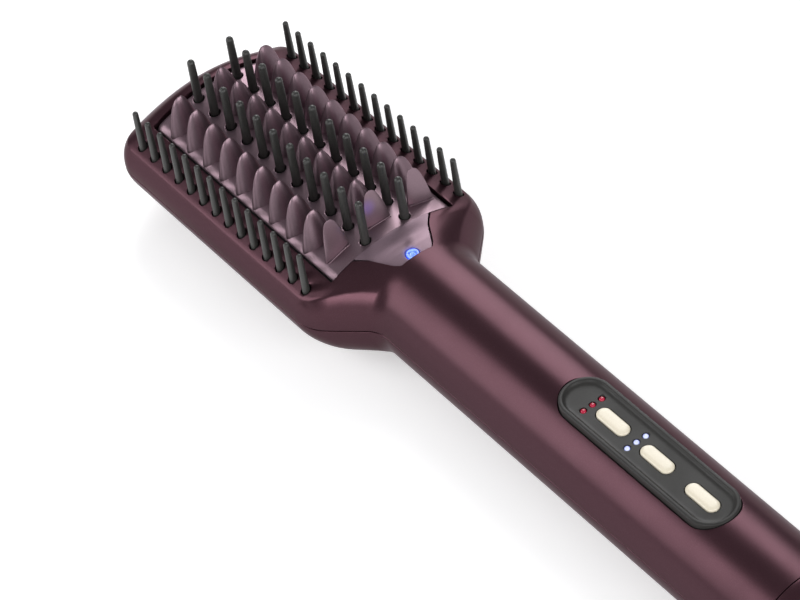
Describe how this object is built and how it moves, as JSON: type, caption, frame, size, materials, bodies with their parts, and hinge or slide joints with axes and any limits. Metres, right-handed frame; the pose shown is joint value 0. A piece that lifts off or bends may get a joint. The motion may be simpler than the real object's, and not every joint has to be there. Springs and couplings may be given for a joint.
{
  "type": "heated straightening brush",
  "caption": "Paddle brush with a heated domed plate of fins and nylon pins, an ion outlet, and a round handle with a button panel and a swivel cord gland.",
  "frame": {"origin": "middle of the bounding box in plan, on the plane that the brush lies on", "axes": "+Y to the tip of the head, -Y to the cord end, +Z the side with the pins, X across the head"},
  "size_m": [0.07, 0.3238, 0.0544],
  "materials": {
    "casing_plum": "satin metallic plum coating",
    "plate_mauve": "satin ceramic coating, mauve",
    "apron_mauve": "satin metallic mauve coating",
    "pin_nylon": "satin heat-proof nylon",
    "inlay_grey": "satin",
    "button_cream": "satin, translucent",
    "clear_plastic": "clear",
    "black_plastic": "matte",
    "gland_rubber": "matte",
    "steel": "plain",
    "brass": "plain",
    "ceramic_heater": "matte",
    "mica": "mica sheet",
    "board": "solder-mask laminate",
    "capacitor_film": "matte",
    "terminal": "matte",
    "wire_red": "wire sleeve",
    "wire_blue": "wire sleeve",
    "wire_white": "wire sleeve"
  },
  "bodies": {
    "casing_body": {"back_shell": "casing_plum", "board_screw_far": "steel", "board_screw_near": "steel", "casing_screw_middle": "steel", "casing_screw_neck": "steel", "casing_screw_tail": "steel", "clamp_screw_far": "steel", "clamp_screw_near": "steel", "control_board": "board", "control_inlay": "inlay_grey", "controller_chip": "black_plastic", "end_cap": "casing_plum", "film_capacitor": "capacitor_film", "front_shell": "casing_plum", "heat_shield": "mica", "heater_clamp": "steel", "heater_triac": "black_plastic", "heater_wire_live": "wire_red", "heater_wire_neutral": "wire_blue", "heating_element_far": "ceramic_heater", "heating_element_near": "ceramic_heater", "heating_plate": "plate_mauve", "inner_pin_strip_left": "pin_nylon", "inner_pin_strip_right": "pin_nylon", "insulating_pad": "mica", "ion_apron": "apron_mauve", "ion_generator": "black_plastic", "ion_lamps": "clear_plastic", "ion_lead": "wire_white", "ion_light_guide": "clear_plastic", "ion_needle": "steel", "ion_outlet": "clear_plastic", "ion_switch": "black_plastic", "link_wire": "wire_red", "lower_electrode": "brass", "needle_holder": "black_plastic", "outer_pin_strip_left": "pin_nylon", "outer_pin_strip_right": "pin_nylon", "plate_carrier": "black_plastic", "power_board": "board", "power_board_screw_far": "steel", "power_board_screw_near": "steel", "power_switch": "black_plastic", "sensor_wire": "wire_white", "smoothing_capacitor": "black_plastic", "temperature_lamps": "clear_plastic", "temperature_light_guide": "clear_plastic", "temperature_switch": "black_plastic", "terminal_block": "terminal", "thermal_fuse": "steel", "thermistor": "clear_plastic", "upper_electrode": "brass"},
    "temperature_button_body": {"temperature_button": "button_cream"},
    "ion_button_body": {"ion_button": "button_cream"},
    "power_button_body": {"power_button": "button_cream"},
    "gland_body": {"cord_gland": "gland_rubber", "gland_clip": "steel"}
  },
  "joints": [
    {"name": "temperature_press", "type": "slide", "parent": "casing_body", "child": "temperature_button_body", "axis": [0, 0, -1], "range_m": [0, 0.0005], "stiffness_N_per_m": 2500, "springref_m": -0.0002},
    {"name": "ion_press", "type": "slide", "parent": "casing_body", "child": "ion_button_body", "axis": [0, 0, -1], "range_m": [0, 0.0005], "stiffness_N_per_m": 2500, "springref_m": -0.0002},
    {"name": "power_press", "type": "slide", "parent": "casing_body", "child": "power_button_body", "axis": [0, 0, -1], "range_m": [0, 0.0005], "stiffness_N_per_m": 2500, "springref_m": -0.0002},
    {"name": "gland_swivel", "type": "hinge", "parent": "casing_body", "child": "gland_body", "pos_m": [0, -0.14415, 0.0191], "axis": [0, 1, 0], "continuous": true}
  ]
}
